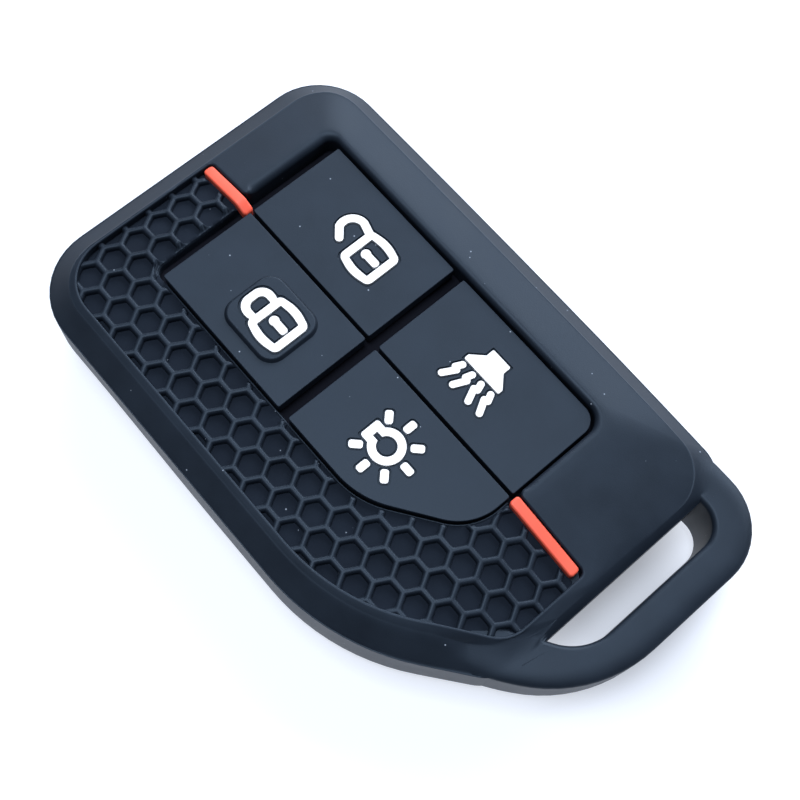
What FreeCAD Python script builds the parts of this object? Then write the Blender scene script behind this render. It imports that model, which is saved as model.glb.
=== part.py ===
import FreeCAD, Part
import os
from math import cos, hypot, pi, radians, sin, sqrt, tan

V = FreeCAD.Vector

# Whole cover: long side along X, key ring end at +X, far side at +Y, back on Z = 0
length = 91.06
width = 54.2
fob_height = 9.2
wall = 2.0
back_wall = 1.8
fit_gap = 0.1
overrun = 1.0
side_room_share = 0.98

# Outline of the cover, with one long corner cut off beside the key ring end
near_corner_radius = 10.0
far_corner_radius = 9.2
cut_length = 26.7
cut_depth = 20.75
cut_near_radius = 34.0
cut_end_radius = 20.0
loop_corner_radius = 9.0
loop_step = 0.6
loop_step_run = 2.0
loop_step_radius = 4.0

# Key ring loop and the slot between it and the body
loop_reach = 9.53
loop_bar = 5.13
loop_top_round = 0.8
slot_near_margin = 21.0
slot_far_margin = 5.9
slot_taper = 2.73
slot_tip_radius = 0.4
slot_near_radius = 7.7
slot_far_radius = 3.8
slot_tight_radius = 0.2
body_far_radius = 7.5
body_near_radius = 6.0

# Back: level in the middle, lifted towards both ends
back_lift = 3.0
back_flat_left = 36.5
back_flat_end = 29.5
back_rise_run = 18.0
back_bend_radius = 40.0
foot_inset = 1.4
foot_height = 3.6
window_lip = 7.0
window_corner_radius = 3.0
window_near_radius = 12.0

# Roof planes by their drop from the panel to the body's side, and flank slopes as inset per rise
roof_far_drop = 1.99
roof_left_drop = 2.23
roof_end_drop = 2.83
roof_near_drop = 1.57
roof_near_back = 5.2
flank_near_share = 1.2
flank_cut_share = 1.73
flank_end_share = 0.92
flank_far_share = 1.0
flank_left_share = 1.43

# Keypad stack from the inside out
plug_height = 1.2
plate_thickness = 0.7
sheet_thickness = 0.6
web_height = 1.0
pad_thickness = 1.8
frame_rise = 0.9

# Four pads, seen from above
keypad_left_margin = 13.13
keypad_end_margin = 16.13
keypad_far_margin = 9.3
keypad_near_margin = 14.55
left_pad_share = 0.4805
far_pad_share = 0.506
wide_groove = 1.9
thin_groove = 0.5
pad_corner_radius = 0.3
pad_edge_radius = 0.12
lamp_corner_radius = 2.5
light_cut_length_share = 0.47
light_cut_depth_share = 0.583
light_near_radius = 13.0
light_end_radius = 7.9
gap_left = 2.0
gap_far = 0.85
gap_end = 0.83
gap_near = 0.35
panel_corner_radius = 1.5
panel_lamp_radius = 3.0

# Under every pad: a nub through the sheet, and a thin sloping web that lets the pad sink
nub_radius = 3.0
nub_length = 2.0
nub_clearance = 1.0
web_thickness = 0.4
web_top_inset = 1.1
web_foot_inset = 0.4
web_corner_radius = 1.0
web_round_share = 0.6

# Honeycomb grip beside the keypad
recess_left_inset = 3.43
recess_near_inset = 4.2
recess_cut_inset = 5.0
recess_end_inset = 3.0
recess_corner_radius = 6.7
recess_near_radius = 30.0
recess_end_radius = 5.0
recess_tight_radius = 0.8
ledge_width = 0.4
ledge_drop = 0.15
grip_depth = 1.9
grip_floor_drop = 1.3
rib_drop = 0.6
cell_pitch = 3.95
rib_width = 0.95
cell_left_margin = 50.92
cell_near_margin = 9.2

# Two red stripes
stripe_width = 1.6
stripe_near_shift = 0.28
stripe_wall_gap = 0.13
stripe_drop = 0.25
stripe_left_gap = 0.2
stripe_start_gap = 0.53
stripe_end_gap = 0.65
stripe_dip_run = 1.9
stripe_dip = 1.0

# White symbols: moulded-in inserts on a hidden backing plate
symbol_stroke = 1.15
symbol_proud = 0.1
moat_width = 0.3
moat_depth = 0.35
backing_depth = 1.05
backing_thickness = 0.4
backing_margin = 0.5
plinth_length = 10.9
plinth_width = 9.6
plinth_radius = 2.5
plinth_height = 0.6
plinth_slope = 0.35
plinth_edge_radius = 0.3

# Padlock symbol, measured from the middle of its body
padlock_length = 6.0
padlock_width = 7.2
padlock_bulge = 0.77
padlock_side_stroke = 1.3
padlock_inner_bulge = 0.25
padlock_inner_radius = 0.15
padlock_crown_radius = 6.0
padlock_corner_radius = 1.0
padlock_window_radius = 0.4
keyhole_radius = 0.7
keyhole_back = 0.7
keyhole_reach = 1.6
keyhole_half = 0.57
shackle_length = 2.85
shackle_width = 4.9
shackle_bar = 1.15
shackle_hole_radius = 0.9
shackle_radius = 1.9
hook_radius = 2.0
hook_shift = 2.0
hook_sweep = 115.0
hook_free_back = 0.49
unlock_shift = 3.465
unlock_lift = -0.1
lock_shift = 3.35
lock_lift = -0.35

# Lamp symbol, measured from the middle of the lamp pad
lamp_shift = -1.35
lamp_top = 3.75
lamp_neck = 2.5
lamp_skirt = 0.8
lamp_foot = 0.05
lamp_neck_half = 1.65
lamp_skirt_half = 3.3
beam_half = 0.48
beam_top = -0.75
beam_kink = -1.65
beam_restart = -1.85
beam_foot = -3.6
beam_place_shares = [(0.827, 0.961, 0.818, 1.115), (0.258, 0.348, 0.212, 0.455)]

# Light symbol, measured from the middle of its bulb
light_shift = -2.0
light_lift = -0.2
bulb_radius = 2.53
bulb_hole_radius = 1.4
bulb_base_reach = 3.5
bulb_base_half = 1.5
bulb_notch_reach = 2.3
bulb_notch_half = 0.4
ray_start = 3.6
ray_end = 4.35
ray_half = 0.55
ray_round_share = 0.7
ray_angles = [0, 45, 90, 135, 225, 270, 315]

# Heights worked out from the stack
plate_under = back_wall + fob_height
parting_height = plate_under + plug_height
sheet_under = plate_under + plate_thickness
sheet_top = sheet_under + sheet_thickness
pad_under = sheet_top + web_height
pad_top = pad_under + pad_thickness
roof_height = pad_top + frame_rise
loop_height = parting_height + loop_top_round
flank_rise = roof_height - parting_height

# Places worked out from the margins
left_x = -length / 2
end_x = length / 2
near_y = -width / 2
far_y = width / 2
body_end = end_x - loop_reach
pads_left = left_x + keypad_left_margin
pads_end = body_end - keypad_end_margin
pads_far = far_y - keypad_far_margin
pads_near = near_y + keypad_near_margin
groove_left = pads_left + (pads_end - pads_left - wide_groove) * left_pad_share
groove_end = groove_left + wide_groove
groove_far = pads_far - (pads_far - pads_near - thin_groove) * far_pad_share
groove_near = groove_far - thin_groove
light_cut_x = pads_end - (pads_end - groove_end) * light_cut_length_share
light_cut_y = pads_near + (groove_near - pads_near) * light_cut_depth_share
panel_left = pads_left - gap_left
panel_end = pads_end + gap_end
panel_far = pads_far + gap_far
stripe_y = (groove_far + groove_near) / 2 - stripe_near_shift
recess_top = stripe_y + stripe_width / 2 + stripe_wall_gap
recess_left = left_x + recess_left_inset
recess_end = body_end - recess_end_inset
left_fall = roof_left_drop / (panel_left - left_x)
end_fall = roof_end_drop / (body_end - panel_end)


# Plain outlines and solids

def rounded(points, radii):
    """Closed wire through the points, each corner eased by an arc as large as its two sides allow."""
    count = len(points)
    sides = [points[(i + 1) % count] - points[i] for i in range(count)]
    halves = [sides[i].getAngle(-sides[i - 1]) / 2 for i in range(count)]
    runs = [radius / tan(half) for radius, half in zip(radii, halves)]
    rooms = [side_room_share * sides[i].Length / (runs[i] + runs[(i + 1) % count]) for i in range(count)]
    edges = []
    first = None
    last = None
    for i, corner in enumerate(points):
        room_share = min(1, rooms[i - 1], rooms[i])
        radius = radii[i] * room_share
        run = runs[i] * room_share
        back = (-sides[i - 1]).normalize()
        ahead = V(sides[i]).normalize()
        start = corner + back * run
        finish = corner + ahead * run
        middle = corner + (back + ahead).normalize() * (radius / sin(halves[i]) - radius)
        if last is None:
            first = start
        else:
            edges.append(Part.makeLine(last, start))
        edges.append(Part.Arc(start, middle, finish).toShape())
        last = finish
    edges.append(Part.makeLine(last, first))
    return Part.Wire(edges)


def flat(corners, height=0):
    """Plan corners as points at one height."""
    return [V(x, y, height) for x, y in corners]


def moved_in(corners, steps):
    """Plan corners after every side, from its own corner on, has moved inwards by its step."""
    count = len(corners)
    lines = []
    for i in range(count):
        (x0, y0), (x1, y1) = corners[i], corners[(i + 1) % count]
        span = hypot(x1 - x0, y1 - y0)
        nx, ny = (y0 - y1) / span, (x1 - x0) / span
        lines.append((nx, ny, nx * x0 + ny * y0 + steps[i]))
    moved = []
    for i in range(count):
        (a, b, c), (d, e, f) = lines[i - 1], lines[i]
        det = a * e - b * d
        moved.append(((c * e - b * f) / det, (a * f - c * d) / det))
    return moved


def plate(corners, radii, low, high):
    """Upright prism on a rounded plan outline."""
    return Part.Face(rounded(flat(corners, low), radii)).extrude(V(0, 0, high - low))


def tapered(low_corners, low_radii, low, high_corners, high_radii, high):
    """Straight-sided solid between two rounded plan outlines."""
    under = rounded(flat(low_corners, low), low_radii)
    over = rounded(flat(high_corners, high), high_radii)
    return Part.makeLoft([under, over], True, True)


def eased_top(solid, radius):
    """The solid with the rim of its level top rounded over."""
    top = max(solid.Faces, key=lambda face: face.CenterOfMass.z)
    return solid.makeFillet(radius, top.Edges)


def box(x0, x1, y0, y1, z0, z1):
    return Part.makeBox(x1 - x0, y1 - y0, z1 - z0, V(x0, y0, z0))


def eased(radii, step):
    """Corner radii of an outline that has moved inwards by one step."""
    return [max(radius - step, recess_tight_radius) for radius in radii]


# Outlines shared by the two shells and everything set into them

def cut_y(x):
    """Height in plan of the cut-off corner's straight line."""
    return near_y + (x - end_x + cut_length) * cut_depth / cut_length


def cover_outline():
    step_x = body_end - loop_step_run
    corners = [(left_x, near_y), (end_x - cut_length, near_y), (end_x, near_y + cut_depth),
               (end_x, far_y - loop_step), (step_x, far_y - loop_step),
               (step_x - loop_step_run, far_y), (left_x, far_y)]
    radii = [near_corner_radius, cut_near_radius, cut_end_radius, loop_corner_radius,
             loop_step_radius, loop_step_radius, far_corner_radius]
    return corners, radii


def body_outline():
    corners = [(left_x, near_y), (end_x - cut_length, near_y), (body_end, cut_y(body_end)),
               (body_end, far_y), (left_x, far_y)]
    radii = [near_corner_radius, cut_near_radius, body_near_radius, body_far_radius,
             far_corner_radius]
    return corners, radii


def body_inside(step, low, high):
    """Prism inside the body outline, one step in from its sides."""
    corners, radii = body_outline()
    return plate(moved_in(corners, [step] * len(corners)), eased(radii, step), low, high)


def window_prism():
    """Opening in the back, a lip's width inside the cavity."""
    corners, _ = body_outline()
    radii = [window_corner_radius, window_near_radius, *[window_corner_radius] * 3]
    return plate(moved_in(corners, [wall + window_lip] * len(corners)), radii, -overrun, roof_height)


def keypad_outline():
    corners = [(pads_left, pads_near), (light_cut_x, pads_near),
               (pads_end, light_cut_y), (pads_end, pads_far),
               (pads_left, pads_far)]
    radii = [pad_corner_radius, light_near_radius, light_end_radius, lamp_corner_radius,
             pad_corner_radius]
    return corners, radii


def panel_prism(extra, low, high):
    """Prism of the opening that holds the keypad, widened by an extra beside the grip."""
    corners, radii = keypad_outline()
    steps = [gap_near + extra, gap_near + extra, gap_end + extra, gap_far, gap_left]
    opened = moved_in(corners, [-step for step in steps])
    return plate(opened, [panel_corner_radius, *radii[1:3], panel_lamp_radius, panel_corner_radius],
                 low, high)


def recess_prism(gap, top_y, low, high):
    """Prism of the grip recess, with a gap to its walls and its far side at top_y."""
    corners, _ = body_outline()
    steps = [recess_near_inset + gap, recess_cut_inset + gap, recess_end_inset + gap,
             far_y - top_y, recess_left_inset + gap]
    radii = [recess_corner_radius, recess_near_radius, recess_end_radius, recess_tight_radius,
             recess_tight_radius]
    return plate(moved_in(corners, steps), radii, low, high)


def under_roof(drop):
    """Everything under the sloping roof planes, all lowered by a drop."""
    top = roof_height - drop
    near_from = groove_near - roof_near_back
    far_fall = roof_far_drop / (far_y - panel_far)
    near_fall = roof_near_drop / (near_from - near_y)
    x0, x1 = left_x - overrun, end_x + overrun
    y0, y1 = near_y - overrun, far_y + overrun
    along = [V(x0, y0, 0), V(x1, y0, 0), V(x1, y0, top - (x1 - panel_end) * end_fall),
             V(panel_end, y0, top), V(panel_left, y0, top),
             V(x0, y0, top - (panel_left - x0) * left_fall)]
    across = [V(x0, y0, 0), V(x0, y1, 0), V(x0, y1, top - (y1 - panel_far) * far_fall),
              V(x0, panel_far, top), V(x0, near_from, top),
              V(x0, y0, top - (near_from - y0) * near_fall)]
    lengthwise = Part.Face(Part.makePolygon([*along, along[0]])).extrude(V(0, y1 - y0, 0))
    crosswise = Part.Face(Part.makePolygon([*across, across[0]])).extrude(V(x1 - x0, 0, 0))
    return lengthwise.common(crosswise)


def above_back(rise):
    """Everything above the back surface, which is level in the middle and lifted at both ends."""
    flat_left = left_x + back_flat_left
    flat_end = end_x - back_flat_end
    low = rise
    high = rise + back_lift
    points = [V(-length, -width, roof_height), V(-length, -width, high),
              V(flat_left - back_rise_run, -width, high), V(flat_left, -width, low),
              V(flat_end, -width, low), V(flat_end + back_flat_end, -width, high),
              V(length, -width, high), V(length, -width, roof_height)]
    bends = [fit_gap, fit_gap, *[back_bend_radius] * 4, fit_gap, fit_gap]
    return Part.Face(rounded(points, bends)).extrude(V(0, 2 * width, 0))


def slot_prism():
    """Key ring slot, whose near end tapers along a wide arc to a tip beside the body."""
    outer = end_x - loop_bar
    near = near_y + slot_near_margin
    far = far_y - slot_far_margin
    corners = [(body_end, near), (outer, near + slot_taper), (outer, far), (body_end, far)]
    radii = [slot_tip_radius, slot_near_radius, slot_far_radius, slot_tight_radius]
    return plate(corners, radii, -overrun, roof_height)


# Shells

def front_shell():
    corners, radii = body_outline()
    shares = [flank_near_share, flank_cut_share, flank_end_share, flank_far_share,
              flank_left_share]
    steps = [share * flank_rise for share in shares]
    top = tapered(corners, radii, parting_height, moved_in(corners, steps),
                  eased(radii, flank_rise), roof_height)
    shell = top.common(under_roof(0))
    outline, rounds = cover_outline()
    loop = tapered(outline, rounds, parting_height,
                   moved_in(outline, [loop_top_round] * len(outline)),
                   eased(rounds, loop_top_round), loop_height)
    beside = box(body_end - loop_reach, length, -width, width, 0, roof_height)
    plug = body_inside(wall + fit_gap, plate_under, parting_height)
    shell = shell.fuse([loop.common(beside), plug])
    high = roof_height + overrun
    recess = recess_prism(0, recess_top, plate_under, high)
    ledge = panel_prism(ledge_width, plate_under, pad_top - ledge_drop)
    shell = shell.cut(recess.cut(ledge).cut(under_roof(grip_depth)))
    shell = shell.cut([panel_prism(0, sheet_under, high), slot_prism(), *nub_windows()])
    x0, x1 = stripe_right_ends()
    half = stripe_width / 2 + fit_gap
    notch = box(x0 - fit_gap, x1, stripe_y - half, stripe_y + half, plate_under, high)
    return shell.cut(notch.cut(under_roof(grip_depth))).removeSplitter()


def back_shell():
    outline, radii = cover_outline()
    foot = tapered(moved_in(outline, [foot_inset] * len(outline)), eased(radii, foot_inset), 0,
                   outline, radii, foot_height)
    skirt = foot.fuse(plate(outline, radii, foot_height, parting_height))
    skirt = skirt.common(above_back(0))
    cavity = body_inside(wall, 0, roof_height).common(above_back(back_wall))
    return skirt.cut([cavity, window_prism(), slot_prism()]).removeSplitter()


# Keypad

def pad_shapes():
    """Plan corners and radii of the four pads by name."""
    tight = pad_corner_radius
    far = {"unlock": (pads_left, groove_left), "lamp": (groove_end, pads_end)}
    shapes = {}
    for name, (x0, x1) in far.items():
        corners = [(x0, groove_far), (x1, groove_far), (x1, pads_far), (x0, pads_far)]
        shapes[name] = corners, [tight, tight, lamp_corner_radius if x1 == pads_end else tight, tight]
    shapes["lock"] = ([(pads_left, pads_near), (groove_left, pads_near), (groove_left, groove_near),
                       (pads_left, groove_near)], [tight] * 4)
    shapes["light"] = ([(groove_end, pads_near), (light_cut_x, pads_near),
                        (pads_end, light_cut_y), (pads_end, groove_near),
                        (groove_end, groove_near)],
                       [tight, light_near_radius, light_end_radius, tight, tight])
    return shapes


def pad_middle(name):
    """Middle of a pad's bounding rectangle."""
    corners, _ = pad_shapes()[name]
    xs = [x for x, _ in corners]
    ys = [y for _, y in corners]
    return (min(xs) + max(xs)) / 2, (min(ys) + max(ys)) / 2


def nub_windows():
    """Round holes through the sheet and the plate under every pad."""
    holes = []
    for name in pad_shapes():
        x, y = pad_middle(name)
        holes.append(Part.makeCylinder(nub_radius + nub_clearance, web_height + sheet_top - plate_under,
                                       V(x, y, plate_under)))
    return holes


def keypad_sheet():
    """Sheet that carries the webs, a fit gap inside the panel opening."""
    sheet = panel_prism(-fit_gap, sheet_under, sheet_top)
    room = box(panel_left + fit_gap, length, -width, panel_far - fit_gap, 0, roof_height)
    return sheet.common(room).cut(nub_windows())


def web_rounds(radii, step):
    return [max(radius * web_round_share - step, web_corner_radius) for radius in radii]


def web(name):
    """Thin sloping wall from the sheet up to the underside of a pad."""
    corners, radii = pad_shapes()[name]

    def shell(extra):
        foot = web_foot_inset + extra
        top = web_top_inset + extra
        return tapered(moved_in(corners, [foot] * len(corners)), web_rounds(radii, foot), sheet_top,
                       moved_in(corners, [top] * len(corners)), web_rounds(radii, top), pad_under)

    return shell(0).cut(shell(web_thickness))


def plinth():
    """Raised cushion under the padlock of the lock pad."""
    x, y = padlock_middle("lock")
    x = x - shackle_length / 2
    half_x = plinth_length / 2
    half_y = plinth_width / 2
    corners = [(x - half_x, y - half_y), (x + half_x, y - half_y), (x + half_x, y + half_y),
               (x - half_x, y + half_y)]
    cushion = tapered(corners, [plinth_radius] * 4, pad_top, moved_in(corners, [plinth_slope] * 4),
                      [plinth_radius - plinth_slope] * 4, pad_top + plinth_height)
    return eased_top(cushion, plinth_edge_radius)


def pad(name):
    corners, radii = pad_shapes()[name]
    x, y = pad_middle(name)
    body = eased_top(plate(corners, radii, pad_under, pad_top), pad_edge_radius)
    nub = Part.makeCylinder(nub_radius, nub_length, V(x, y, pad_under - nub_length))
    body = body.fuse(nub)
    if name == "lock":
        body = body.fuse(plinth())
    top = face_height(name)
    moat = symbol(name, moat_width, top - moat_depth, top + overrun)
    return body.cut([moat, icon(name)]).removeSplitter()


# Symbols

def face_height(name):
    """Height of the surface that carries a pad's symbol."""
    return pad_top + plinth_height if name == "lock" else pad_top


def padlock_middle(name):
    x, y = pad_middle(name)
    if name == "lock":
        return x + lock_shift, y + lock_lift
    return x + unlock_shift, y + unlock_lift


def oblong(x0, x1, y0, y1, radius):
    return Part.Face(rounded(flat([(x0, y0), (x1, y0), (x1, y1), (x0, y1)]), [radius] * 4))


def disc(x, y, radius):
    return Part.Face(Part.Wire(Part.makeCircle(radius, V(x, y, 0))))


def capsule(start, finish, half):
    """Flat straight bar of one half width with round ends."""
    way = (finish - start).normalize() * half
    side = V(-way.y, way.x, 0)
    return Part.Face(Part.Wire([Part.makeLine(start - side, finish - side),
                                Part.Arc(finish - side, finish + way, finish + side).toShape(),
                                Part.makeLine(finish + side, start + side),
                                Part.Arc(start + side, start - way, start - side).toShape()]))


def barrel(x, y, half_x, half_y, bulge, radius):
    """Flat oblong about its middle, whose two long sides are bowed outwards."""
    shoulder = half_y - bulge
    corners = [(x - half_x, y - shoulder), (x, y - half_y), (x + half_x, y - shoulder),
               (x + half_x, y + shoulder), (x, y + half_y), (x - half_x, y + shoulder)]
    return Part.Face(rounded(flat(corners), [radius, padlock_crown_radius, radius] * 2))


def padlock(name, grow):
    """Faces drawn, cleared, put back and bridged for a padlock with its shackle to the left."""
    x, y = padlock_middle(name)
    half_x = padlock_length / 2 + grow
    half_y = padlock_width / 2 + grow
    drawn = [barrel(x, y, half_x, half_y, padlock_bulge, padlock_corner_radius)]
    inner_x = padlock_length / 2 - symbol_stroke - grow
    inner_y = padlock_width / 2 - padlock_side_stroke - grow
    window = barrel(x, y, inner_x, inner_y, padlock_inner_bulge, padlock_inner_radius)
    hole_x = x - keyhole_back
    key = [disc(hole_x, y, keyhole_radius + grow),
           oblong(hole_x, x + keyhole_reach + grow, y - keyhole_half - grow, y + keyhole_half + grow,
                  padlock_window_radius)]
    bridge = [oblong(hole_x, x + half_x, y - keyhole_half, y + keyhole_half, padlock_window_radius)]
    cleared = [window]
    edge = x - padlock_length / 2
    if name == "lock":
        reach = edge - shackle_length
        half = shackle_width / 2
        drawn.append(oblong(reach - grow, x - inner_x, y - half - grow, y + half + grow, shackle_radius))
        side = half - shackle_bar - grow
        start = reach + shackle_bar + grow
        hole = [(start, y - side), (edge - grow, y - side), (edge - grow, y + side), (start, y + side)]
        bend = shackle_hole_radius - grow
        radii = [bend, padlock_inner_radius, padlock_inner_radius, bend]
        cleared.append(Part.Face(rounded(flat(hole), radii)))
    else:
        drawn.extend(hook(edge, y + padlock_width / 2 - padlock_bulge, shackle_bar / 2 + grow))
    return drawn, cleared, key, bridge


def hook(x, y, half):
    """Faces of the open shackle, from the body's corner round to its free end."""
    middle = V(x - hook_shift + symbol_stroke / 2, y - hook_radius, 0)
    ways = []
    for step in (0, hook_sweep / 2, hook_sweep):
        angle = radians(90 + step)
        ways.append(V(cos(angle), sin(angle), 0))
    outer = [middle + way * (hook_radius + half) for way in ways]
    inner = [middle + way * (hook_radius - half) for way in ways]
    band = Part.Face(Part.Wire([Part.Arc(*outer).toShape(), Part.makeLine(outer[2], inner[2]),
                                Part.Arc(*inner).toShape(), Part.makeLine(inner[0], outer[0])]))
    root = V(x + symbol_stroke / 2, y - symbol_stroke / 2, 0)
    start = middle + ways[0] * hook_radius
    bend = middle + ways[2] * hook_radius
    free = middle + V(-hook_free_back, -hook_radius, 0)
    return [capsule(root, start, half), band, capsule(bend, free, half)]


def lamp(grow):
    """Dipped lamp with four kinked beams under its shade."""
    x, y = pad_middle("lamp")
    x = x + lamp_shift
    side = [(lamp_skirt_half, lamp_foot), (lamp_skirt_half, lamp_skirt), (lamp_neck_half, lamp_neck),
            (lamp_neck_half, lamp_top)]
    right = [(x + across, y + up) for across, up in side]
    left = [(x - across, y + up) for across, up in reversed(side)]
    corners = moved_in([*right, *left], [-grow] * len(side) * 2)
    drawn = [Part.Face(rounded(flat(corners), [padlock_window_radius / 2] * len(corners)))]
    for sign in (1, -1):
        reach = sign * lamp_skirt_half
        for top_share, kink_share, restart_share, foot_share in beam_place_shares:
            top = V(x + reach * top_share, y + beam_top, 0)
            kink = V(x + reach * kink_share, y + beam_kink, 0)
            restart = V(x + reach * restart_share, y + beam_restart, 0)
            foot = V(x + reach * foot_share, y + beam_foot, 0)
            drawn.append(capsule(top, kink, beam_half + grow))
            drawn.append(capsule(restart, foot, beam_half + grow))
    return drawn, [], [], []


def light(grow):
    """Bulb lying on its side with seven rays."""
    x, y = pad_middle("light")
    x = x + light_shift
    y = y + light_lift
    base = oblong(x - bulb_base_reach - grow, x - bulb_hole_radius, y - bulb_base_half - grow,
                  y + bulb_base_half + grow, padlock_window_radius)
    notch = oblong(x - bulb_notch_reach + grow, x, y - bulb_notch_half + grow, y + bulb_notch_half - grow,
                   bulb_notch_half / 4)
    drawn = [disc(x, y, bulb_radius + grow), base]
    cleared = [disc(x, y, bulb_hole_radius - grow), notch]
    half = ray_half + grow
    for angle in ray_angles:
        ray = oblong(ray_start - half, ray_end + half, -half, half, half * ray_round_share)
        drawn.append(ray.rotated(V(0, 0, 0), V(0, 0, 1), angle).translated(V(x, y, 0)))
    return drawn, cleared, [], []


def symbol_faces(name, grow):
    """Flat faces of a pad's symbol: drawn, cleared, put back, and bridged in its backing."""
    if name == "lamp":
        return lamp(grow)
    if name == "light":
        return light(grow)
    return padlock(name, grow)


def raised(faces, low, high):
    """Flat faces as upright solids between two heights."""
    return [face.translated(V(0, 0, low)).extrude(V(0, 0, high - low)) for face in faces]


def drawing(start, cleared, kept):
    """A solid after the cleared solids are cut and the kept ones put back."""
    if cleared:
        start = start.cut(cleared)
    if kept:
        start = start.fuse(kept)
    return start


def symbol(name, grow, low, high):
    """A pad's symbol as an upright solid, widened all round by grow."""
    drawn, cleared, kept, _ = symbol_faces(name, grow)
    solids = raised(drawn, low, high)
    return drawing(solids[0].fuse(solids[1:]), raised(cleared, low, high), raised(kept, low, high))


def icon(name):
    """White insert: the symbol standing on a backing plate inside the pad."""
    high = pad_top - backing_depth
    low = high - backing_thickness
    shown = symbol(name, 0, high, face_height(name) + symbol_proud)
    bounds = shown.BoundBox
    base = box(bounds.XMin - backing_margin, bounds.XMax + backing_margin, bounds.YMin - backing_margin,
               bounds.YMax + backing_margin, low, high)
    corners, radii = pad_shapes()[name]
    base = base.common(plate(moved_in(corners, [backing_margin] * len(corners)),
                             eased(radii, backing_margin), low, high))
    _, cleared, kept, bridge = symbol_faces(name, 0)
    base = drawing(base, raised(cleared, low, high), raised([*kept, *bridge], low, high))
    return shown.fuse(base).removeSplitter()


# Grip and stripes

def honeycomb_grip():
    top = stripe_y - stripe_width / 2 - fit_gap
    area = recess_prism(fit_gap, top, 0, roof_height)
    area = area.cut(panel_prism(ledge_width + fit_gap, 0, roof_height))
    floor = area.common(under_roof(grip_floor_drop).cut(under_roof(grip_depth)))
    ribs = area.common(under_roof(rib_drop).cut(under_roof(grip_floor_drop)))
    return floor.fuse(ribs.cut(hexagons())).removeSplitter()


def hexagons():
    """All open cells of the honeycomb as upright prisms."""
    across = cell_pitch - rib_width
    corner = across / sqrt(3)
    column = cell_pitch * sqrt(3) / 2
    start_x = left_x + cell_left_margin
    start_y = near_y + cell_near_margin
    columns = int(length / column)
    rows = int(width / cell_pitch)
    cells = []
    for i in range(-columns, columns):
        x = start_x + i * column
        for j in range(-rows, rows):
            y = start_y + j * cell_pitch + (i % 2) * cell_pitch / 2
            if x < left_x or x > body_end or y < near_y or y > recess_top:
                continue
            ring = [V(x + corner * cos(k * pi / 3), y + corner * sin(k * pi / 3), 0) for k in range(7)]
            cells.append(Part.Face(Part.makePolygon(ring)).extrude(V(0, 0, roof_height)))
    return cells


def stripe(points, x0, x1):
    """Red bar whose top follows the points in side view, with round ends in plan."""
    y0 = stripe_y - stripe_width / 2
    y1 = stripe_y + stripe_width / 2
    under = [V(p.x, p.y, p.z - grip_depth + stripe_drop) for p in reversed(points)]
    side = Part.Face(Part.makePolygon([*points, *under, points[0]])).extrude(V(0, stripe_width, 0))
    ends = [stripe_width / 2 - fit_gap] * 4
    return side.common(plate([(x0, y0), (x1, y0), (x1, y1), (x0, y1)], ends, 0, roof_height))


def stripe_left():
    x0 = recess_left + stripe_left_gap
    x1 = pads_left - stripe_left_gap
    bend = x1 - stripe_dip_run
    top = roof_height - stripe_drop
    y = stripe_y - stripe_width / 2
    points = [V(x0, y, top - (panel_left - x0) * left_fall), V(bend, y, top), V(x1, y, top - stripe_dip)]
    return stripe(points, x0, x1)


def stripe_right_ends():
    return pads_end + stripe_start_gap, recess_end - stripe_end_gap


def stripe_right():
    x0, x1 = stripe_right_ends()
    y = stripe_y - stripe_width / 2
    top = roof_height - stripe_drop
    points = [V(x, y, top - (x - panel_end) * end_fall) for x in (x0, x1)]
    return stripe(points, x0, x1)


# Every node, each saved under its own name

nodes = {"front_shell": front_shell(), "back_shell": back_shell(), "keypad_sheet": keypad_sheet(),
         "honeycomb_grip": honeycomb_grip(), "stripe_left": stripe_left(), "stripe_right": stripe_right()}
for name in pad_shapes():
    nodes["web_" + name] = web(name)
    nodes["pad_" + name] = pad(name)
    nodes["icon_" + name] = icon(name)

os.makedirs("parts", exist_ok=True)
for name, shape in nodes.items():
    shape.exportStep("parts/" + name + ".step")
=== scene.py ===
import bmesh
import bpy
import numpy as np
from math import pi, radians, sqrt
from mathutils import Matrix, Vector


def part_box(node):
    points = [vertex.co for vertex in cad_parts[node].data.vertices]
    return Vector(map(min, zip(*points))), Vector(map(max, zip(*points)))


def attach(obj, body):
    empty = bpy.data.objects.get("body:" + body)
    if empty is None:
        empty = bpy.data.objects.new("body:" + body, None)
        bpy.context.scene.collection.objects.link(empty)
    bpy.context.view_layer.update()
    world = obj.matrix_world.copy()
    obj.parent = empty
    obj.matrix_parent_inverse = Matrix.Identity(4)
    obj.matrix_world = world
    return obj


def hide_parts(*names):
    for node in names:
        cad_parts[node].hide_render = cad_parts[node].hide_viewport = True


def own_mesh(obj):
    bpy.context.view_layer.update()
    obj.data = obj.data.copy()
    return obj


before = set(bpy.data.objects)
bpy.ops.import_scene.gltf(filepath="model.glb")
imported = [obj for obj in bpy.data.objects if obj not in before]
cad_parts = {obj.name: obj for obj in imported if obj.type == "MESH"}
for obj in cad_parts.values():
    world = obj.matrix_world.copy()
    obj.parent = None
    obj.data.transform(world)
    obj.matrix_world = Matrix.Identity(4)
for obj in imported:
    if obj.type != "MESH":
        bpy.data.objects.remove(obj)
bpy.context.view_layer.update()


# Back shell: the lower half of the stretchy sleeve, which holds the fob by its sides and back.
# Black silicone rubber, compression moulded in one shot with a soft satin skin. The wide window
# in its back lets the fob be pushed in, and the key ring loop hangs on its end.

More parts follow.
